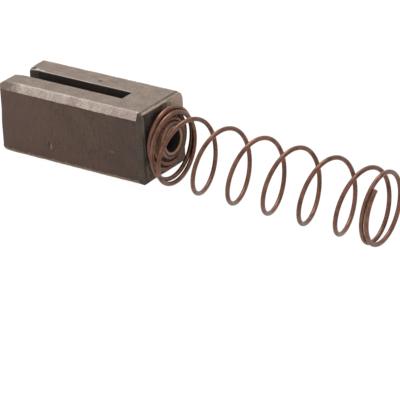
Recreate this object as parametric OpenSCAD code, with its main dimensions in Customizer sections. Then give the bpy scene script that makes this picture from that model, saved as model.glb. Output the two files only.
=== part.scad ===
// Carbon brush for a small electric motor: a slotted carbon block with a round
// spigot, and the steel compression spring that grips the spigot.
// Millimetres. The origin is the centre of the contact face, +X runs along the
// block towards the spring, and +Z points out of the slotted face.

/* [Carbon block] */
// Length of the block, from the contact face to the spring end
block_length = 17.4; // [12:0.1:24]
// Width of the block, across the slot
block_width = 6.85; // [6:0.05:9]
// Height of the block, from the plain face to the slotted face
block_height = 7.35; // [6.5:0.05:10]
// Radius that rounds the contact face into the slotted face
front_round = 0.9; // [0.2:0.05:1.8]
// Radius that rounds the contact face into the plain face
heel_round = 0.4; // [0.2:0.05:1]
// Radius that rounds the contact face into the side faces
side_round = 0.3; // [0.1:0.05:0.8]

/* [Slot] */
// Width of the slot
slot_width = 1.65; // [1:0.05:2.2]
// Depth of the slot below the slotted face
slot_depth = 3; // [1:0.1:3.4]
// Distance of the slot's middle from the block's axis, towards the near side
slot_offset = 0.2; // [0:0.05:0.5]
// Radius that rounds the contact face into the slot
mouth_round = 0.75; // [0.1:0.05:1.2]
// Solid length left between the slot and the spring end
slot_end_wall = 3.9; // [2.5:0.1:6]

/* [Bevels] */
// Width that the long upper bevels take from the slotted face
upper_bevel_width = 0.33; // [0.1:0.01:0.8]
// Height that the long upper bevels take from the side faces
upper_bevel_drop = 0.72; // [0.1:0.01:1.2]
// Leg of the long lower bevels, the same on both faces
lower_bevel = 0.1; // [0.05:0.05:0.8]
// Length along the block of the bevels at the spring end, on all but the plain face
end_bevel_run = 0.45; // [0.2:0.05:1.5]
// Depth that those bevels take from each face
end_bevel_depth = 0.15; // [0.05:0.05:0.5]

/* [Spigot] */
// Radius of the round spigot that the spring grips
spigot_radius = 1.85; // [1.6:0.05:2]
// Length of the spigot beyond the end face
spigot_length = 1.2; // [0.9:0.05:1.4]
// Bevel round the spigot's rim and the mouth of its hole
spigot_bevel = 0.12; // [0.02:0.02:0.3]
// Radius of the blind hole in the spigot
hole_radius = 1.2; // [0.6:0.05:1.25]
// Depth of the hole, from the spigot's tip
hole_depth = 2.5; // [1.5:0.1:3]

/* [Spring coils] */
// Diameter of the spring wire
wire_diameter = 0.44; // [0.3:0.02:0.46]
// Radius of the full coils, to the middle of the wire
coil_radius = 3.4; // [3.34:0.02:3.8]
// Distance from one open coil to the next, along the spring's axis
coil_pitch = 3.84; // [2:0.02:6]
// Turns from the seat's last closed coil to the cut far end
free_turns = 7.9; // [4:0.1:12]
// Turns over which the closed coils at the seat open to the full pitch
opening_turns = 0.33; // [0.2:0.01:1]
// Turns over which the far coils close up again
closing_turns = 1.3; // [0.5:0.1:2]
// Closed turns left at the far end
far_closed_turns = 0.85; // [0.5:0.05:2]
// Gap between coils that lie closed against each other
coil_gap = 0.02; // [0.02:0.01:0.05]

/* [Spring seat] */
// Gap between the spigot and the wire that grips it
grip_gap = 0.02; // [0.01:0.01:0.05]
// Distance from the end face to the wire at the seat's last closed coil
seat_height = 1.29; // [1.25:0.01:1.6]
// Turns wound at the seat, from the cut end on the spigot
seat_turns = 3.1; // [2.9:0.1:3.1]
// Distance from the spigot's tip back to the wire's cut end
grip_setback = 0.5; // [0.4:0.02:0.6]
// Distance that the open coils hang below the spigot's axis
coil_drop = 0.76; // [0:0.02:1]
// Distance that they stand towards the near side
coil_shift = 0.36; // [0:0.02:0.5]
// Angle by which the spring dips below the block's axis
coil_dip = 3.1; // [0:0.1:4]
// Angle by which the spring swings towards the far side
coil_swing = 2.2; // [0:0.1:4]

/* [Facets] */
// Wire rings in each turn of the spring
rings_per_turn = 30; // [24:2:36]
// Sides of the wire
wire_sides = 10; // [8:2:12]

/* [Hidden] */

half_width = block_width / 2;
half_height = block_height / 2;
slot_length = block_length - slot_end_wall;
wire_radius = wire_diameter / 2;
closed_pitch = wire_diameter + coil_gap;
grip_radius = spigot_radius + wire_radius + grip_gap;
// Turn numbers: turn 0 is the top of the seat's last closed coil.
first_turn = -seat_turns;
last_turn = free_turns;
opening_start = 0.49;
closing_start = free_turns - far_closed_turns - closing_turns;
// The wire spirals from the spigot to the full radius, and drops back to the
// closed coils, between these turns.
spiral_start = -2.75;
spiral_end = -1.2;
return_start = -2.55;
return_end = -2.05;
// The gripping turn stands out this far beyond where the closed coils would be.
grip_lead = spigot_length - grip_setback - seat_height + closed_pitch * seat_turns;
// The coils move off the block's axis between these turns, and then tilt.
shift_start = -2;
shift_end = 1.1;
tilt_start = opening_start;
tilt_end = 1.1;
overcut = 1;
$fn = 64;

// Outline of the block seen from the side, X along it and Z up.
module side_outline() {
    difference() {
        polygon([
            [0, -half_height],
            [block_length, -half_height],
            [block_length, half_height - end_bevel_depth],
            [block_length - end_bevel_run, half_height],
            [0, half_height]
        ]);
        corner_cut(front_round, half_height, -1);
        corner_cut(heel_round, -half_height, 1);
    }
}

// What a rounding of radius r takes from the corner at [0, edge].
// inward is the sign of the direction from the corner into the block.
module corner_cut(r, edge, inward) {
    difference() {
        translate([-overcut, inward > 0 ? edge - overcut : edge - r])
            square([r + overcut, r + overcut]);
        translate([r, edge + inward * r]) circle(r);
    }
}

// Outline of the block seen along its length, Y across and Z up.
module section_outline() {
    polygon([
        [-half_width + lower_bevel, -half_height],
        [half_width - lower_bevel, -half_height],
        [half_width, -half_height + lower_bevel],
        [half_width, half_height - upper_bevel_drop],
        [half_width - upper_bevel_width, half_height],
        [-half_width + upper_bevel_width, half_height],
        [-half_width, half_height - upper_bevel_drop],
        [-half_width, -half_height + lower_bevel]
    ]);
}

// Outline of the block seen from above, X along it and Y across.
module plan_outline() {
    difference() {
        polygon([
            [0, -half_width],
            [block_length - end_bevel_run, -half_width],
            [block_length, -half_width + end_bevel_depth],
            [block_length, half_width - end_bevel_depth],
            [block_length - end_bevel_run, half_width],
            [0, half_width]
        ]);
        corner_cut(side_round, half_width, -1);
        corner_cut(side_round, -half_width, 1);
    }
}

module block_body() {
    intersection() {
        translate([0, half_width, 0]) rotate([90, 0, 0])
            linear_extrude(block_width) side_outline();
        rotate([90, 0, 90]) linear_extrude(block_length) section_outline();
        translate([0, 0, -half_height]) linear_extrude(block_height) plan_outline();
    }
}

// The slot is open at the contact face, where its mouth is rounded, and at the slotted face.
module slot_cut() {
    translate([0, -slot_offset, half_height - slot_depth])
        linear_extrude(slot_depth + overcut) {
            translate([-overcut, -slot_width / 2]) square([slot_length + overcut, slot_width]);
            corner_cut(mouth_round, -slot_width / 2, -1);
            corner_cut(mouth_round, slot_width / 2, 1);
        }
}

// The spigot starts one overcut inside the block, so that both are one solid.
module spigot() {
    tip = spigot_length;
    translate([block_length, 0, 0]) rotate([0, 90, 0]) rotate_extrude() polygon([
        [0, -overcut],
        [spigot_radius, -overcut],
        [spigot_radius, tip - spigot_bevel],
        [spigot_radius - spigot_bevel, tip],
        [0, tip]
    ]);
}

module spigot_hole() {
    translate([block_length + spigot_length, 0, 0]) rotate([0, 90, 0]) {
        translate([0, 0, -hole_depth]) cylinder(h = hole_depth + overcut, r = hole_radius);
        rotate_extrude() polygon([
            [0, -spigot_bevel],
            [hole_radius, -spigot_bevel],
            [hole_radius + spigot_bevel, 0],
            [hole_radius + spigot_bevel, overcut],
            [0, overcut]
        ]);
    }
}

module carbon_block() {
    color("dimgray") difference() {
        union() {
            block_body();
            spigot();
        }
        slot_cut();
        spigot_hole();
    }
}

// 0 up to turn a, 1 from turn b, and a smooth step between them.
function ease(t, a, b) =
    let (u = min(max((t - a) / (b - a), 0), 1)) u * u * (3 - 2 * u);

// The area under that step: what a slope that grows from 0 to 1 adds up to.
function eased_sum(t, a, b) =
    let (u = min(max((t - a) / (b - a), 0), 1))
    (b - a) * (pow(u, 3) - pow(u, 4) / 2) + max(t - b, 0);

// Distance of the wire from the end face at turn t, along the spring's axis.
function wire_height(t) =
    seat_height + closed_pitch * t
    + (coil_pitch - closed_pitch) * (
        eased_sum(t, opening_start, opening_start + opening_turns)
        - eased_sum(t, closing_start, closing_start + closing_turns))
    + grip_lead * (1 - ease(t, return_start, return_end));

// Distance of the wire's middle from the spring's axis at turn t.
function wire_reach(t) =
    grip_radius + (coil_radius - grip_radius) * ease(t, spiral_start, spiral_end);

// The spring's axis, its sideways direction and its upward one at turn t.
function axis_frame(t) =
    let (
        tilt = ease(t, tilt_start, tilt_end),
        dip = coil_dip * tilt,
        swing = coil_swing * tilt,
        along = [cos(swing) * cos(dip), sin(swing) * cos(dip), -sin(dip)],
        across = [-sin(swing), cos(swing), 0]
    )
    [along, across, cross(along, across)];

// Outward direction from the spring's axis at turn t: the coils are wound
// left-handed, from the top over the far side.
function outward(t) =
    let (frame = axis_frame(t))
    sin(360 * t) * frame[1] + cos(360 * t) * frame[2];

function wire_point(t) =
    let (shift = ease(t, shift_start, shift_end))
    [block_length + seat_height, -coil_shift * shift, -coil_drop * shift]
    + (wire_height(t) - seat_height) * axis_frame(t)[0]
    + wire_reach(t) * outward(t);

function unit(v) = v / norm(v);

// One ring of the wire's surface at turn t, square to the wire.
function wire_ring(t) =
    let (
        step = 0.001,
        tangent = unit(wire_point(t + step) - wire_point(t - step)),
        side = unit(cross(tangent, outward(t))),
        up = cross(side, tangent)
    )
    [for (k = [0 : wire_sides - 1])
        let (a = 360 * k / wire_sides)
        wire_point(t) + wire_radius * (cos(a) * up + sin(a) * side)];

// A closed tube of wire along the whole winding, with its two cut ends flat.
module spring() {
    ring_count = round((last_turn - first_turn) * rings_per_turn);
    points = [for (i = [0 : ring_count])
        each wire_ring(first_turn + (last_turn - first_turn) * i / ring_count)];
    n = wire_sides;
    walls = [for (i = [0 : ring_count - 1], k = [0 : n - 1])
        let (a = i * n + k, b = i * n + (k + 1) % n)
        each [[a, b, a + n], [b, b + n, a + n]]];
    first_cap = [for (k = [n - 1 : -1 : 0]) k];
    last_cap = [for (k = [0 : n - 1]) ring_count * n + k];
    color("rosybrown") polyhedron(points, concat(walls, [first_cap, last_cap]));
}

carbon_block();
spring();
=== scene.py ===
import math

import bmesh
import bpy
import numpy as np
from mathutils import Matrix, Vector, noise


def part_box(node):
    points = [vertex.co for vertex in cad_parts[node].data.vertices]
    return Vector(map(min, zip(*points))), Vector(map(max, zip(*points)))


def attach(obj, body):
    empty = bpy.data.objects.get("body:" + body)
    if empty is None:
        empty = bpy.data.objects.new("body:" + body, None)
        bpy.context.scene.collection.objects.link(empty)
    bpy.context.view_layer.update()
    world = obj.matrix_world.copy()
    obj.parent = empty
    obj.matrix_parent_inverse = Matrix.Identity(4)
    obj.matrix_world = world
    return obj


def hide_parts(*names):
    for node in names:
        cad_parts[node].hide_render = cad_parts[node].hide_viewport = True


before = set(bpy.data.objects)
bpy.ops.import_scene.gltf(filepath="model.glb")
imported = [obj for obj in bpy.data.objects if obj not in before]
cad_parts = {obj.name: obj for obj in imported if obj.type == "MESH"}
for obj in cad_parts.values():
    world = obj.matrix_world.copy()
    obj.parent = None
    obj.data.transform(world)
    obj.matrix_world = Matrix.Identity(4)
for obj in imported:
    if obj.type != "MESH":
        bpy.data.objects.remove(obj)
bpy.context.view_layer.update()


# ---------------------------------------------------------------------------------------------
# Carbon block. One piece of pressed carbon: its top is ground, a slot runs in from the contact
# end, and a round spigot with a blind hole stands on the other end. A ring of points follows
# the section, slot included, and is swept along X, then shrinks to the spigot and its hole.
# ---------------------------------------------------------------------------------------------
block_top = [round(1000 * corner, 3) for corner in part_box("carbon_block")[1]]
spigot_length, spigot_radius, hole_radius, hole_depth = 1.2, 1.85, 1.2, 2.5
spigot_tip, half_width, half_height = block_top
block_length = spigot_tip - spigot_length

slot_near, slot_far, slot_floor, slot_end = -1.025, 0.625, 0.675, 13.5
slot_middle, slot_half = (slot_near + slot_far) / 2, (slot_far - slot_near) / 2
slot_lip = 0.07  # width of the edge on both sides of the slot, which takes the pale bevel finish as a painted highlight
bevel_width, bevel_drop, lower_bevel = 0.33, 0.72, 0.1
sheen_band_width = 0.5  # how far the pale bevel finish, a painted sheen, reaches in from the sides onto the top
end_bevel_run, end_bevel_depth = 0.45, 0.15
end_edge = 0.06  # the end bevels meet the end face in a small rounded edge
top_round, heel_round, side_round, mouth_round = 0.9, 0.4, 0.3, 0.75

# Each stretch of the surface has one of these finishes.
SIDE, TOP, BEVEL, SLOT, END, SPIGOT, END_BEVEL = range(7)


def rounded_line(corners, spacing=0.17):
    """Points along a line of corners (y, z, rounding, finish after the corner), and each point's
    finish. A rounded corner is (1 - u) squared times its start, plus 2u(1 - u) times the corner,
    plus u squared times its end, at four values of u. Straights are cut to the spacing."""
    knots = np.array([corner[:2] for corner in corners], float)
    u = np.array([0, 0.33, 0.67, 1])[:, None]
    curves = [knots[i : i + 1] for i in range(len(knots))]
    for i, (_, _, rounding, _) in enumerate(corners):
        if rounding:
            before, after = knots[i - 1] - knots[i], knots[i + 1] - knots[i]
            start = knots[i] + before / np.linalg.norm(before) * rounding
            end = knots[i] + after / np.linalg.norm(after) * rounding
            curves[i] = (1 - u) ** 2 * start + 2 * u * (1 - u) * knots[i] + u**2 * end
    stretches = []
    for curve, following in zip(curves, curves[1:] + curves[-1:]):
        straight = following[0] - curve[-1]
        count = max(1, math.ceil(np.linalg.norm(straight) / spacing))
        cuts = curve[-1] + straight * np.arange(1, count)[:, None] / count
        stretches.append(np.vstack([curve, cuts]))
    finishes = [np.full(len(part), corner[3]) for part, corner in zip(stretches, corners)]
    return np.vstack(stretches)[:-1], np.concatenate(finishes)[:-1]


# The bevel finish on the long upper bevels is painted sheen, and on the lower bevels it is painted light
# from the floor.
outer, outer_finish = rounded_line([
    (slot_far + slot_lip, half_height, 0, TOP),
    (half_width - sheen_band_width, half_height, 0, BEVEL),
    (half_width - bevel_width, half_height, 0.12, BEVEL),
    (half_width, half_height - bevel_drop, 0.06, SIDE),
    (half_width, -half_height + lower_bevel, 0.03, BEVEL),
    (half_width - lower_bevel, -half_height, 0.03, SIDE),
    (-half_width + lower_bevel, -half_height, 0.03, BEVEL),
    (-half_width, -half_height + lower_bevel, 0.03, SIDE),
    (-half_width, half_height - bevel_drop, 0.06, BEVEL),
    (-half_width + bevel_width, half_height, 0.12, BEVEL),
    (-half_width + sheen_band_width, half_height, 0, TOP),
    (slot_near - slot_lip, half_height, 0, TOP)])
slot_line, slot_finish = rounded_line([
    (slot_near - slot_lip, half_height, 0, BEVEL),
    (slot_near, half_height, slot_lip * 0.9, SLOT),
    (slot_near, slot_floor, 0.1, SLOT),
    (slot_far, slot_floor, 0.1, SLOT),
    (slot_far, half_height, slot_lip * 0.9, BEVEL),
    (slot_far + slot_lip, half_height, 0, BEVEL)])
bridge, bridge_finish = rounded_line([
    (slot_near - slot_lip, half_height, 0, TOP),
    (slot_far + slot_lip, half_height, 0, TOP)])
slotted, slotted_finish = np.vstack([outer, slot_line]), np.concatenate([outer_finish, slot_finish])
whole, whole_finish = np.vstack([outer, bridge]), np.concatenate([outer_finish, bridge_finish])


def pulled_in(x, radius):
    """How far a quarter circle of this radius pulls a face in at x from the contact face: radius
    minus the square root of radius squared minus (radius - x) squared, and 0 past the radius."""
    return radius - np.sqrt(radius**2 - (radius - np.minimum(x, radius)) ** 2)


def swept(section, stations, has_slot):
    """Grid of points over (station, section point): the section at each x, drawn in by the quarter
    circles at the contact face, by the straight end bevels, and by a squared ease at the end face.
    The slot is widened at its mouth by a quarter circle of its own."""
    x = np.asarray(stations)[:, None]
    y, z = section[:, 0] + 0 * x, section[:, 1] + 0 * x
    if has_slot:
        mouth = slot_half + pulled_in(x, mouth_round)
        widened = slot_middle + (y - slot_middle) * mouth / slot_half
        pushed = np.where(y > slot_middle, np.maximum(y, slot_middle + mouth + slot_lip),
                          np.minimum(y, slot_middle - mouth - slot_lip))
        in_slot = np.arange(len(section)) >= len(outer)
        y = np.where(in_slot, widened, np.where(z > 0, pushed, y))
    taper = np.maximum(0, x - block_length + end_bevel_run) / end_bevel_run * end_bevel_depth
    edge = 0.05 * (np.maximum(0, x - block_length + end_edge) / end_edge) ** 2
    z = np.minimum(z, half_height - np.maximum(pulled_in(x, top_round), taper + edge))
    z = np.maximum(z, -half_height + np.maximum(pulled_in(x, heel_round), edge))
    side = pulled_in(x, side_round)
    y = np.maximum(y, -half_width + np.maximum(side, taper + edge))
    y = np.minimum(y, half_width - np.maximum(side, edge))
    return np.stack([x + 0 * y, y, z], -1)


def ring_quads(first, count, rings):
    """Quads between neighbouring rings of count points, the first of them being point number first:
    points k and k + 1 of a ring with the same two points of the next ring."""
    ring, k = np.meshgrid(np.arange(rings - 1), np.arange(count), indexing="ij")
    here, beside = first + ring * count + k, first + ring * count + (k + 1) % count
    return np.stack([here, beside, beside + count, here + count], -1).reshape(-1, 4).tolist()


# Stations along X lie closer together where the contact end is rounded and at the end bevels.
front_stations = [0, 0.01, 0.03, 0.07, 0.12, 0.19, 0.27, 0.36, 0.46, 0.58, 0.72]
slotted_x = np.concatenate([front_stations, np.linspace(0.9, slot_end, 74)])
plain_x = np.linspace(slot_end, block_length - 0.62, 20)
bevel_x = block_length - np.array([0.53, 0.45, 0.32, 0.24, 0.18, 0.12, 0.06, 0.03, 0])
slotted_rings = swept(slotted, slotted_x, True)
whole_rings = swept(whole, np.concatenate([plain_x, bevel_x]), False)

# The last ring's points move straight in to a circle, which shrinks along the spigot's profile:
# steps back from the tip and radii, over the spigot, its rim with a shallow groove, and the hole.
end_ring = whole_rings[-1]
angle = np.arctan2(end_ring[:, 2], end_ring[:, 1])
circle = np.column_stack([0 * angle, np.cos(angle), np.sin(angle)])
spigot_foot = circle * spigot_radius + [block_length, 0, 0]
inward_steps = np.linspace(0, 1, 10)[1:, None, None]
end_face_rings = end_ring * (1 - inward_steps) + spigot_foot * inward_steps
spigot_side = [(back, spigot_radius) for back in (1.14, 0.9, 0.6, 0.3, 0.14)]
spigot_rim = [(0.1, 1.835), (0.04, 1.78), (0, 1.72), (0, 1.62)]
rim_groove = [(0.05, 1.58), (0.07, 1.52), (0.05, 1.46), (0, 1.42)]
hole_mouth = [(0, 1.34), (0.04, 1.26), (0.11, 1.205)]
hole_side = [(back, hole_radius) for back in (0.4, 0.8, 1.2, 1.7, 2.2, 2.45)]
hole_bottom = [(hole_depth, 1.15), (hole_depth, 0.6), (hole_depth, 0)]
profile = np.array(spigot_side + spigot_rim + rim_groove + hole_mouth + hole_side + hole_bottom)
spigot_rings = circle * profile[:, 1, None, None] + np.stack(
    [spigot_tip - profile[:, 0], 0 * profile[:, 0], 0 * profile[:, 0]], -1)[:, None]
tail = np.concatenate([whole_rings, end_face_rings, spigot_rings])

# Finish of each quad. The slot's rounded mouth takes the spigot's paler finish, as painted light where the
# mouth lies in shade.
slotted_kinds = np.tile(slotted_finish, (len(slotted_x) - 1, 1))
slotted_kinds[(slotted_kinds == SLOT) & (slotted_x[:-1, None] < 0.5)] = SPIGOT
bevel_row, body_rows = len(plain_x), len(whole_rings) - 1
spigot_row = len(whole_rings) + len(end_face_rings) - 1
groove_row = spigot_row + len(spigot_side) + len(spigot_rim) - 1
hole_row = groove_row + 1 + len(rim_groove) + len(hole_mouth)
on_top = whole[:, 1] > half_height - 0.05
tail_kinds = np.full((len(tail) - 1, len(whole)), END)
tail_kinds[: bevel_row - 1] = whole_finish
tail_kinds[bevel_row - 1, on_top] = whole_finish[on_top]
tail_kinds[bevel_row:body_rows, on_top] = END_BEVEL
tail_kinds[spigot_row:hole_row] = SPIGOT
tail_kinds[groove_row : groove_row + len(rim_groove)] = END
# the blind hole takes the slot's painted shade
tail_kinds[hole_row:] = SLOT

# The contact face closes the first ring. The slot's end is one flat face between the slotted
# part's last ring and the bridge over it, in the slot's painted shade.
tail_start = len(slotted) * len(slotted_x)
last_slotted = tail_start - len(slotted)
contact_face = list(range(len(slotted)))[::-1]
slot_end_face = list(range(last_slotted + len(outer), tail_start)) + [last_slotted, tail_start]
slot_end_face += list(range(tail_start + len(whole) - 1, tail_start + len(outer) - 1, -1))
block_faces = ring_quads(0, len(slotted), len(slotted_x)) + [contact_face]
block_faces += ring_quads(tail_start, len(whole), len(tail)) + [slot_end_face]
block_kinds = np.concatenate([slotted_kinds.ravel(), [END], tail_kinds.ravel(), [SLOT]])
block_points = np.concatenate([slotted_rings.reshape(-1, 3), tail.reshape(-1, 3)])

# Chips: middle, radius and depth of each dent in the block's edges.
chips = [
    ((17.4, 3.425, 3.675), 0.9, 0.05), ((17.3, 2.2, 3.6), 0.4, 0.06), ((17.2, -0.4, 3.6), 0.5, 0.08),
    ((17.4, -3.4, 3.5), 0.6, 0.15), ((1.1, 0.75, 3.4), 0.35, 0.12), ((1.5, 0.8, 3.6), 0.3, 0.1)]
edge_wear = 0.07  # the most that an edge has lost

# The contact end is rubbed round over this length. A ball of the first radius fits the prongs'
# outer corners, then come those of the near prong's slot side, the body below the slot and the
# heel. The far prong is worn shorter, and its slot side is worn further still.
front_wear = 1.6
prong_ball, slot_side_ball, body_ball, heel_ball = 0.6, 0.35, 0.4, 0.6
far_prong_wear, far_slot_side_wear = 0.35, 0.4


def noise_at(places):
    """Smooth noise between -1 and 1 at each row of places."""
    return np.array([noise.noise(Vector(place)) for place in places.tolist()])


def wavering(x, waves):
    """A wavering line over x: the sum of one noise for each wave (wavelength, amplitude, seed)."""
    line = 0 * x
    for wavelength, amplitude, seed in waves:
        line += amplitude * noise_at(np.column_stack([x / wavelength, seed + 0 * x, 0 * x]))
    return line


def edge_worn(points):
    """Points moved towards the block's middle: nearness to each face is its share of the way from
    the middle, to the power 24, and the second largest of the three picks out the edges. Edges
    wear unevenly, by noise. A chip takes its depth times (1 - distance squared) squared, where
    distance is a share of its radius. The long bevels' borders waver."""
    x, y, z = points.T
    nearness = np.abs(np.column_stack([x / block_length * 2 - 1, y / half_width, z / half_height])) ** 24
    inward = -np.sign(np.column_stack([x - block_length / 2, y, z])) * nearness
    size = np.linalg.norm(inward, axis=1)
    uneven = 0.25 + 0.6 * noise_at(points / 0.35) + 0.6 * noise_at(points / 0.9)
    depth = edge_wear * np.sort(nearness, axis=1)[:, 1] * np.maximum(0, uneven)
    for middle, radius, dent in chips:
        away = np.minimum(np.linalg.norm(points - middle, axis=1) / radius, 1)
        depth += dent * (1 - away**2) ** 2
    share = np.where(size > 1e-3, depth / np.maximum(size, 1e-3), 0)
    moved = points + inward * share[:, None]
    bevel_foot = (np.abs(z - half_height + bevel_drop) < 0.08) & (np.abs(y) > half_width - 0.05)
    wear_border = (np.abs(np.abs(y) - half_width + sheen_band_width) < 0.02) & (z > half_height - 0.02)
    moved[bevel_foot, 2] += wavering(x[bevel_foot], [(0.22, 0.06, 7.1), (0.7, 0.04, 3.3)])
    moved[wear_border, 1] += wavering(x[wear_border], [(0.3, 0.09, 1.7), (1.1, 0.06, 5.3)])
    return moved


def front_worn(points, moved):
    """The contact end rubbed round: a point outside the ball that rolls inside the faces of its
    prong, or of the body, is drawn onto the ball, whose radius fades with x squared. The far prong
    is then shortened by its wear times (1 - x) squared, x being a share of the worn length."""
    x, y, z = points.T
    fade = np.maximum(0, 1 - (x / front_wear) ** 2)
    prong = z > slot_floor + 0.02
    near_face = np.where(prong & (y >= slot_middle), slot_far, -half_width)
    far_face = np.where(prong & (y < slot_middle), slot_near, half_width)
    slot_side = (y > slot_near - 1.2) & (y < 0)
    below_slot = np.maximum(0, 1 - (slot_floor + 0.02 - z) / 1.5)
    body = body_ball + (prong_ball - body_ball) * below_slot
    upper = fade * np.where(prong, np.where(slot_side, slot_side_ball, prong_ball), body)
    lower = fade * heel_ball
    ball = np.where(moved[:, 2] < -half_height + lower, lower, upper)
    core = np.column_stack([
        np.maximum(moved[:, 0], np.maximum(upper, ball)),
        np.minimum(np.maximum(moved[:, 1], near_face + upper), far_face - upper),
        np.minimum(np.maximum(moved[:, 2], -half_height + lower), half_height - upper)])
    away = np.linalg.norm(moved - core, axis=1)
    drawn = np.where((away > ball) & (ball > 0), ball / np.maximum(away, 1e-9), 1)
    rubbed = core + (moved - core) * drawn[:, None]
    far_share = np.clip((y + 0.2) / 0.9, 0, 1)
    slot_share = np.clip((2.0 - y) / 1.2, 0, 1) * far_share
    height_share = np.clip((z - slot_floor + 2.8) / 2.8, 0, 1) ** 1.5
    shortened = (far_prong_wear * far_share + far_slot_side_wear * slot_share) * height_share
    rubbed[:, 0] += shortened * np.maximum(0, 1 - x / front_wear) ** 2
    return rubbed


on_block = block_points[:, 0] <= block_length + 0.02
as_made = block_points[on_block]
block_points[on_block] = front_worn(as_made, edge_worn(as_made))


def linear(hex_colour):
    """Linear RGBA of an sRGB hex colour: a channel c up to 0.04045 becomes c / 12.92, and a larger
    one becomes ((c + 0.055) / 1.055) to the power 2.4."""
    channels = [int(hex_colour[i : i + 2], 16) / 255 for i in (1, 3, 5)]
    return [c / 12.92 if c <= 0.04045 else ((c + 0.055) / 1.055) ** 2.4 for c in channels] + [1.0]


def add(tree, kind, inputs=None, **settings):
    """Adds one shader node. Settings are its properties, and inputs maps a socket's name or number
    to a value or to the output that feeds it."""
    made = tree.nodes.new("ShaderNode" + kind)
    for key, value in settings.items():
        setattr(made, key, value)
    for key, value in (inputs or {}).items():
        if isinstance(value, bpy.types.NodeSocket):
            tree.links.new(value, made.inputs[key])
        else:
            made.inputs[key].default_value = value
    return made


def new_finish(name):
    """An empty material and its node tree."""
    material = bpy.data.materials.new(name)
    material.use_nodes = True
    material.node_tree.nodes.clear()
    return material, material.node_tree


def marked(tree, place, ragged, shade, mark):
    """One mark over a shade: distance from its middle in half sizes, plus 1.6 times the noise that
    makes its edge ragged, is full colour below 1.35 and none above 2.1."""
    middle, half_sizes, colour, strength = mark
    centre, halves = ([c / 1000 for c in corner] for corner in (middle, half_sizes))
    offset = add(tree, "VectorMath", {0: place, 1: centre}, operation="SUBTRACT").outputs[0]
    scaled = add(tree, "VectorMath", {0: offset, 1: halves}, operation="DIVIDE").outputs[0]
    away = add(tree, "VectorMath", {0: scaled}, operation="LENGTH").outputs["Value"]
    away = add(tree, "Math", {0: ragged, 1: 1.6, 2: away}, operation="MULTIPLY_ADD").outputs[0]
    full, none = 1.35, 2.1
    reach = {"Value": away, "From Min": none, "From Max": full, "To Max": strength}
    inside = add(tree, "MapRange", reach).outputs[0]
    return add(tree, "Mix", {0: inside, 6: shade, 7: linear(colour)}, data_type="RGBA").outputs[2]


def carbon(name, dark, pale, grain_mm, roughness, bump_mm, stripes=None, speck=0.0, marks=(), blotch=0.5):
    """Pressed carbon: patches about ten grains wide and single grains mix the two colours, blotch
    being the patches' share. stripes gives the spacing in mm of fine lines along X, Y and Z, and
    speck how much bright grains stand out. Each mark is a ragged ellipsoid of another colour:
    middle in mm, half sizes in mm, colour, strength. Real grains are near 0.03 mm, too fine to
    show, so they are drawn 0.1 to 0.2 mm wide."""
    material, tree = new_finish(name)
    place = add(tree, "TexCoord").outputs["Object"]
    single = {"Vector": place, "Scale": 1000 / grain_mm, "Detail": 3.0, "Roughness": 0.6}
    grain = add(tree, "TexNoise", single).outputs["Fac"]
    ten_wide = {"Vector": place, "Scale": 1000 / (grain_mm * 10), "Detail": 2.0}
    cloud = add(tree, "TexNoise", ten_wide).outputs["Fac"]
    height = grain
    tone = add(tree, "Mix", {0: blotch, 2: grain, 3: cloud}).outputs[0]
    if stripes:
        per_metre = [1000 / spacing for spacing in stripes]
        squeezed = add(tree, "Mapping", {"Vector": place, "Scale": per_metre}).outputs[0]
        drawn = add(tree, "TexNoise", {"Vector": squeezed, "Scale": 1.0, "Detail": 2.0}).outputs["Fac"]
        tone = add(tree, "Mix", {0: 0.33, 2: tone, 3: drawn}).outputs[0]
        height = add(tree, "Mix", {0: 0.5, 2: grain, 3: drawn}).outputs[0]
    share = add(tree, "MapRange", {"Value": tone, "From Min": 0.37, "From Max": 0.63}).outputs[0]
    # the colour sockets of a Mix node are numbers 6, 7 and 2
    shade = add(tree, "Mix", {0: share, 6: linear(dark), 7: linear(pale)}, data_type="RGBA").outputs[2]
    if speck:
        coarse = {"Vector": place, "Scale": 1000 / (grain_mm * 1.3), "Detail": 1.0}
        brightest = {"Value": add(tree, "TexNoise", coarse).outputs["Fac"], "From Min": 0.6,
                     "From Max": 0.74, "To Max": speck}
        dots = add(tree, "MapRange", brightest).outputs[0]
        shade = add(tree, "Mix", {0: dots, 6: shade, 7: linear("#e6dace")}, data_type="RGBA").outputs[2]
    if marks:
        ragged_mm = 0.35
        edge = {"Vector": place, "Scale": 1000 / ragged_mm, "Detail": 2.0}
        ragged = add(tree, "TexNoise", edge).outputs["Fac"]
        for mark in marks:
            shade = marked(tree, place, ragged, shade, mark)
    bump = add(tree, "Bump", {"Height": height, "Distance": bump_mm / 1000}).outputs[0]
    shader = add(tree, "BsdfPrincipled", {"Base Color": shade, "Roughness": roughness, "Normal": bump})
    add(tree, "OutputMaterial", {"Surface": shader.outputs[0]})
    return material


# Pressed carbon as it leaves the die: matt brown with faint upright streaks. It is lighter towards the
# contact end and darker towards the spring end, with a painted highlight along the lower edge where the
# floor lights it, a scratch and a rub mark.
plain_side = carbon(
    "carbon_plain_side", "#443128", "#644b3d", 0.2, 0.7, 0.01, stripes=(0.17, 0.17, 1.1), blotch=0.4, marks=[
        ((2.0, -3.42, 0.5), (4.5, 0.5, 5.0), "#6b5247", 0.35),
        ((15.5, -3.42, -0.5), (3.0, 0.5, 5.0), "#392b22", 0.35),
        # painted highlight: the lower edge as the floor lights it
        ((8.7, -3.42, -3.62), (30.0, 0.5, 0.26), "#a98e76", 0.8),
        ((6.04, -3.42, -1.85), (0.13, 0.4, 0.34), "#241a16", 0.9),
        ((6.24, -3.42, -2.02), (0.12, 0.4, 0.32), "#8f7c70", 0.75),
        ((13.65, -3.42, -0.93), (0.35, 0.4, 0.12), "#7d6c60", 0.45)])
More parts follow.
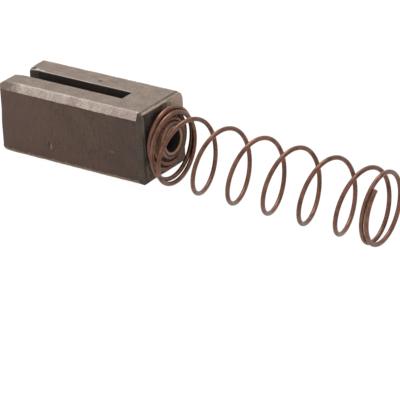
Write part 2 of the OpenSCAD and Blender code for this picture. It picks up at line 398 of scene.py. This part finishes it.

# Ground carbon: a grey brown from the wheel, painted paler in part as the top's painted sheen. Both
# prongs are darker at the front, chips beside the slot are white and dark, and there is one pit.
# painted sheen in part: the top's paler colours
ground_sheen_top = carbon(
    "carbon_ground_sheen_top", "#6c5b4f", "#907e6d", 0.13, 0.6, 0.01, stripes=(1.2, 0.2, 1.2), speck=0.2, marks=[
        ((0.2, -2.7, 3.4), (1.9, 1.0, 1.2), "#77675c", 0.75),
        ((0.2, 2.0, 3.4), (1.5, 1.6, 1.2), "#77675c", 0.75),
        ((1.3, 0.9, 3.5), (0.3, 0.3, 0.4), "#33291f", 0.8),
        ((1.7, 0.8, 3.6), (0.26, 0.22, 0.3), "#efe9e0", 1.0),
        ((2.0, 0.7, 3.6), (0.22, 0.16, 0.3), "#33291f", 0.8),
        ((2.4, 0.72, 3.6), (0.4, 0.16, 0.3), "#d8cec3", 0.8),
        ((9.05, 1.42, 3.675), (0.24, 0.18, 0.3), "#1c1613", 1.0)])

# Painted sheen: the long bevels are the palest of the surfaces, with bright grains, a colour that stands in
# for the light they catch.
# painted sheen: pale bevel colours; the near bevel is darker at the contact end
sheen_bevel = carbon("carbon_sheen_bevel", "#a89287", "#e2cfc3", 0.17, 0.5, 0.015, speck=0.35, marks=[
    ((0.2, -2.9, 3.2), (2.2, 1.4, 1.4), "#7d6b5f", 0.95)])

# Sawn carbon painted nearly black as painted shade inside the slot, on its end and in the spigot's hole,
# with painted light on the far wall at the mouth.
slot_shade_wall = carbon("carbon_slot_shade_wall", "#1c1511", "#3d3028", 0.2, 0.8, 0.015, marks=[
    # painted light on the far wall at the mouth
    ((0.9, 0.65, 2.2), (1.2, 0.5, 3.0), "#54443a", 0.9)])

# Pressed carbon behind the spring: dark, with a painted highlight on the far upper corner, painted shade in
# two patches by the spring, and paler patches along its near and lower edges.
end_face = carbon("carbon_end_face", "#3a2e26", "#5a4b3f", 0.18, 0.7, 0.02, marks=[
    # painted highlight on the far upper corner
    ((17.5, 2.7, 3.3), (0.5, 2.1, 1.4), "#d0b8a5", 0.9),
    # painted shade by the spring
    ((17.4, -2.75, 1.2), (0.3, 0.45, 2.2), "#1f1a16", 0.8),
    ((17.4, -3.1, 2.3), (0.3, 0.16, 1.0), "#8a7c71", 0.7),
    ((17.4, -3.0, 0.1), (0.3, 0.14, 1.6), "#7d7067", 0.6),
    ((17.4, -2.7, -2.3), (0.3, 0.3, 0.8), "#85786d", 0.8),
    ((17.4, -1.6, -3.3), (0.3, 1.3, 0.3), "#7d7067", 0.6),
    ((17.4, 0.6, -2.9), (0.3, 1.0, 0.5), "#8a7c71", 0.6),
    # painted shade by the spring
    ((17.4, -1.2, 2.7), (0.3, 1.2, 0.4), "#1f1a16", 0.7)])

# Carbon that the wire has rubbed: warmer and a little smoother. On the slot's mouth it is painted light.
spigot_finish = carbon("carbon_spigot", "#8a634a", "#bd9176", 0.15, 0.55, 0.01, speck=0.15)

# Broken edge at the spring end: coarse and dull, with a dark line where the ground top stops.
end_bevel = carbon("carbon_end_bevel", "#7e6b5c", "#b09e8c", 0.2, 0.85, 0.02, speck=0.4, marks=[
    ((16.98, 0.3, 3.67), (0.2, 4.6, 0.3), "#2e221b", 0.65)])


def mesh_piece(name, points, faces, face_material, materials, sharp_degrees):
    """One object from points in millimetres: equal points are joined, faces turned outwards, and
    edges bent by more than sharp_degrees stay sharp."""
    mesh = bpy.data.meshes.new(name)
    mesh.from_pydata((points / 1000).tolist(), [], faces)
    mesh.polygons.foreach_set("material_index", face_material)
    for material in materials:
        mesh.materials.append(material)
    work = bmesh.new()
    work.from_mesh(mesh)
    bmesh.ops.remove_doubles(work, verts=work.verts, dist=2e-7)
    bmesh.ops.dissolve_degenerate(work, dist=1e-8, edges=work.edges)
    bmesh.ops.recalc_face_normals(work, faces=work.faces)
    work.to_mesh(mesh)
    work.free()
    mesh.shade_smooth()
    mesh.set_sharp_from_angle(angle=math.radians(sharp_degrees))
    piece = bpy.data.objects.new(name, mesh)
    bpy.context.scene.collection.objects.link(piece)
    return piece


carbon_finishes = [plain_side, ground_sheen_top, sheen_bevel, slot_shade_wall, end_face, spigot_finish, end_bevel]
block = mesh_piece("carbon_brush_block", block_points, block_faces, block_kinds, carbon_finishes, 35)
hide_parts("carbon_block")
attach(block, "root")


# ---------------------------------------------------------------------------------------------
# Spring. One length of hard steel wire, wound left-handed. Its first turn grips the spigot. The
# wire then widens to full coils, opens, and closes again at the far end. A round section is
# swept along the winding.
# ---------------------------------------------------------------------------------------------
wire, coil_radius, coil_pitch, closed_pitch = 0.44, 3.4, 3.84, 0.44 + 0.02
first_turn, last_turn, rings_per_turn, wire_sides = -3.1, 7.9, 60, 16
seat_height, grip_setback, grip_gap = 1.29, 0.5, 0.02
crossing_radius = 2.8  # of the strand that crosses in front of the end face
coil_shift, coil_drop = 0.36, 0.76
coil_dip, coil_swing = math.radians(3.1), math.radians(2.2)
grip_radius = spigot_radius + wire / 2 + grip_gap
grip_lead = spigot_length - grip_setback - seat_height - closed_pitch * first_turn


def ease(t, a, b):
    """A smooth step from 0 at a to 1 at b: u squared times (3 - 2u), where u runs from a to b."""
    u = np.clip((t - a) / (b - a), 0, 1)
    return u * u * (3 - 2 * u)


def eased_sum(t, a, b):
    """The area under that step up to t: (b - a) times (u cubed - half of u to the fourth), and 1
    for each unit past b."""
    u = np.clip((t - a) / (b - a), 0, 1)
    return (b - a) * (u**3 - u**4 / 2) + np.maximum(t - b, 0)


def winding(t):
    """Middle of the wire and the outward direction at turn t: height along the spring's axis grows
    by the closed or open pitch, reach grows from the spigot to the coil radius, and the axis drops
    and then tilts away from the block's axis."""
    open_turns = eased_sum(t, 0.49, 0.82) - eased_sum(t, 5.75, 7.05)
    height = closed_pitch * t + (coil_pitch - closed_pitch) * open_turns
    height = height + grip_lead * (1 - ease(t, -2.55, -2.05))
    reach = grip_radius + (crossing_radius - grip_radius) * ease(t, -2.75, -1.95)
    reach = reach + (coil_radius - crossing_radius) * ease(t, -1.47, -1.12)
    shift, tilt = ease(t, -2, 1.1), ease(t, 0.49, 1.1)
    dip, swing = coil_dip * tilt, coil_swing * tilt
    along = np.stack([np.cos(swing) * np.cos(dip), np.sin(swing) * np.cos(dip), -np.sin(dip)], -1)
    across = np.stack([-np.sin(swing), np.cos(swing), 0 * swing], -1)
    upright = np.cross(along, across)
    outward = np.sin(2 * np.pi * t)[:, None] * across + np.cos(2 * np.pi * t)[:, None] * upright
    base = np.stack([block_length + seat_height + 0 * t, -coil_shift * shift, -coil_drop * shift], -1)
    return base + height[:, None] * along + reach[:, None] * outward, outward


def unit(vectors):
    """Each row divided by its length."""
    return vectors / np.linalg.norm(vectors, axis=1)[:, None]


turns = np.linspace(first_turn, last_turn, round((last_turn - first_turn) * rings_per_turn) + 1)
middle, outward = winding(turns)
tangent = unit(winding(turns + 1e-4)[0] - winding(turns - 1e-4)[0])
sideways = unit(np.cross(tangent, outward))
upwards = np.cross(sideways, tangent)
around = np.arange(wire_sides)[:, None] * 2 * np.pi / wire_sides
tube = middle[:, None] + wire / 2 * (np.cos(around) * upwards[:, None] + np.sin(around) * sideways[:, None])
near_cut = list(range(wire_sides))[::-1]
far_cut = list(range((len(turns) - 1) * wire_sides, len(turns) * wire_sides))
spring_faces = ring_quads(0, wire_sides, len(turns)) + [near_cut, far_cut]
spring_kinds = [0] * (len(spring_faces) - 2) + [1, 1]

# Drawn spring steel, browned by heat: satin, in patches of two browns a little over 1 mm wide.
wire_finish, tree = new_finish("brown_spring_wire")
place = add(tree, "TexCoord").outputs["Object"]
patch_mm = 1.2
patch = {"Vector": place, "Scale": 1000 / patch_mm, "Detail": 4.0, "Roughness": 0.7}
patches = add(tree, "TexNoise", patch).outputs["Fac"]
share = add(tree, "MapRange", {"Value": patches, "From Min": 0.35, "From Max": 0.65}).outputs[0]
browns = {0: share, 6: linear("#5e3b2c"), 7: linear("#855b48")}
brown = add(tree, "Mix", browns, data_type="RGBA").outputs[2]
shader = add(tree, "BsdfPrincipled", {"Base Color": brown, "Metallic": 0.6, "Roughness": 0.36})
add(tree, "OutputMaterial", {"Surface": shader.outputs[0]})

# The wire's two cut ends are dull and grainy, which the carbon's pattern gives as well.
cut_finish = carbon("cut_wire_end", "#6d5a50", "#8d7a6e", 0.1, 0.5, 0.005)

spring = mesh_piece("spring_wire", tube.reshape(-1, 3), spring_faces, spring_kinds,
                    [wire_finish, cut_finish], 40)
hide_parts("spring")
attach(spring, "root")


# ---------------------------------------------------------------------------------------------
# Studio. A wide white floor touches the block's front lower edge and the last coil, on which
# the part rests. A soft lamp above and weak white surroundings light the part, and direct rays
# see both floor and surroundings as white.
# ---------------------------------------------------------------------------------------------
def seen_directly(tree):
    """1 for camera, glossy and transmission rays, and 0 for the others."""
    path = add(tree, "LightPath").outputs
    seen = add(tree, "Math", {0: path["Is Camera Ray"], 1: path["Is Glossy Ray"]}, operation="MAXIMUM")
    seen = add(tree, "Math", {0: seen.outputs[0], 1: path["Is Transmission Ray"]}, operation="MAXIMUM")
    return seen.outputs[0]


# The floor turns about the heel until it meets the wire: its slope is the steepest drop from the
# heel to a point of the wire.
heel = Vector((0.3, 0, -half_height)) / 1000
wire_x, wire_z = tube[:, :, 0] / 1000, tube[:, :, 2] / 1000
slope = math.atan(np.max((heel.z - wire_z) / (wire_x - heel.x)))
floor_gap = 0.00002
floor_mesh = bpy.data.meshes.new("studio_floor")
floor_corners = [(-3, -3, 0), (3, -3, 0), (3, 3, 0), (-3, 3, 0)]
floor_mesh.from_pydata(floor_corners, [], [(0, 1, 2, 3)])
floor = bpy.data.objects.new("studio_floor", floor_mesh)
bpy.context.scene.collection.objects.link(floor)
floor.location = heel - Vector((0, 0, floor_gap))
floor.rotation_euler = (0, slope, 0)

# White paint that glows a little for direct rays, so that it shows as white but keeps a shadow.
floor_finish, tree = new_finish("studio_white")
paint = add(tree, "BsdfDiffuse", {"Color": linear("#f4f4f4")}).outputs[0]
glow = add(tree, "Emission", {"Color": (1, 1, 1, 1), "Strength": 1.08}).outputs[0]
glow_share = add(tree, "Math", {0: seen_directly(tree), 1: 0.9}, operation="MULTIPLY").outputs[0]
mixed = add(tree, "MixShader", {0: glow_share, 1: paint, 2: glow}).outputs[0]
add(tree, "OutputMaterial", {"Surface": mixed})
floor_mesh.materials.append(floor_finish)

world = bpy.data.worlds.new("studio_world")
bpy.context.scene.world = world
world.use_nodes = True
tree = world.node_tree
tree.nodes.clear()
room = add(tree, "Background", {"Color": (1, 1, 1, 1), "Strength": 0.45}).outputs[0]
white = add(tree, "Background", {"Color": (1, 1, 1, 1), "Strength": 1.0}).outputs[0]
mixed = add(tree, "MixShader", {0: seen_directly(tree), 1: room, 2: white}).outputs[0]
add(tree, "OutputWorld", {"Surface": mixed})


def lamp(name, towards, distance, size, power):
    """A square soft lamp that shines at the part's middle from the given direction, in metres and
    watts."""
    light = bpy.data.lights.new(name, "AREA")
    light.size = size
    light.energy = power
    made = bpy.data.objects.new(name, light)
    bpy.context.scene.collection.objects.link(made)
    direction = Vector(towards).normalized()
    made.location = Vector((0.018, 0, 0)) + direction * distance
    made.rotation_euler = direction.to_track_quat("Z", "Y").to_euler()


lamp("lamp_above", (-0.25, 0.35, 1.0), 0.6, 0.35, 2.2)
lamp("lamp_side", (-0.53, -0.80, 0.35), 0.6, 0.2, 0.25)


# ---------------------------------------------------------------------------------------------
# Camera. It looks down at the spring end and the near side, from about a quarter of a metre,
# and is tipped by a few degrees. The spring end's middle stands left of and above the view's
# middle, by the distances aside and upward.
# ---------------------------------------------------------------------------------------------
azimuth, elevation, roll = math.radians(36.03), math.radians(25.43), math.radians(-2.85)
distance, aside, upward = 238.0, -3.55376, 6.17062
target = Vector((block_length, -0.125, 0.305))
back = Vector((math.sin(azimuth) * math.cos(elevation), -math.cos(azimuth) * math.cos(elevation),
               math.sin(elevation)))
level = Vector((math.cos(azimuth), math.sin(azimuth), 0))
upright = back.cross(level)
right = math.cos(roll) * level + math.sin(roll) * upright
above = math.cos(roll) * upright - math.sin(roll) * level
eye = (target + distance * back - aside * right - upward * above) / 1000
camera = bpy.data.cameras.new("camera")
camera.sensor_width = 36.0
camera.lens = 224.28
camera.clip_start = 0.01
camera.clip_end = 20.0
viewer = bpy.data.objects.new("camera", camera)
bpy.context.scene.collection.objects.link(viewer)
viewer.matrix_world = Matrix.Translation(eye) @ Matrix((right, above, back)).transposed().to_4x4()
bpy.context.scene.camera = viewer
bpy.context.scene.view_settings.view_transform = "Standard"
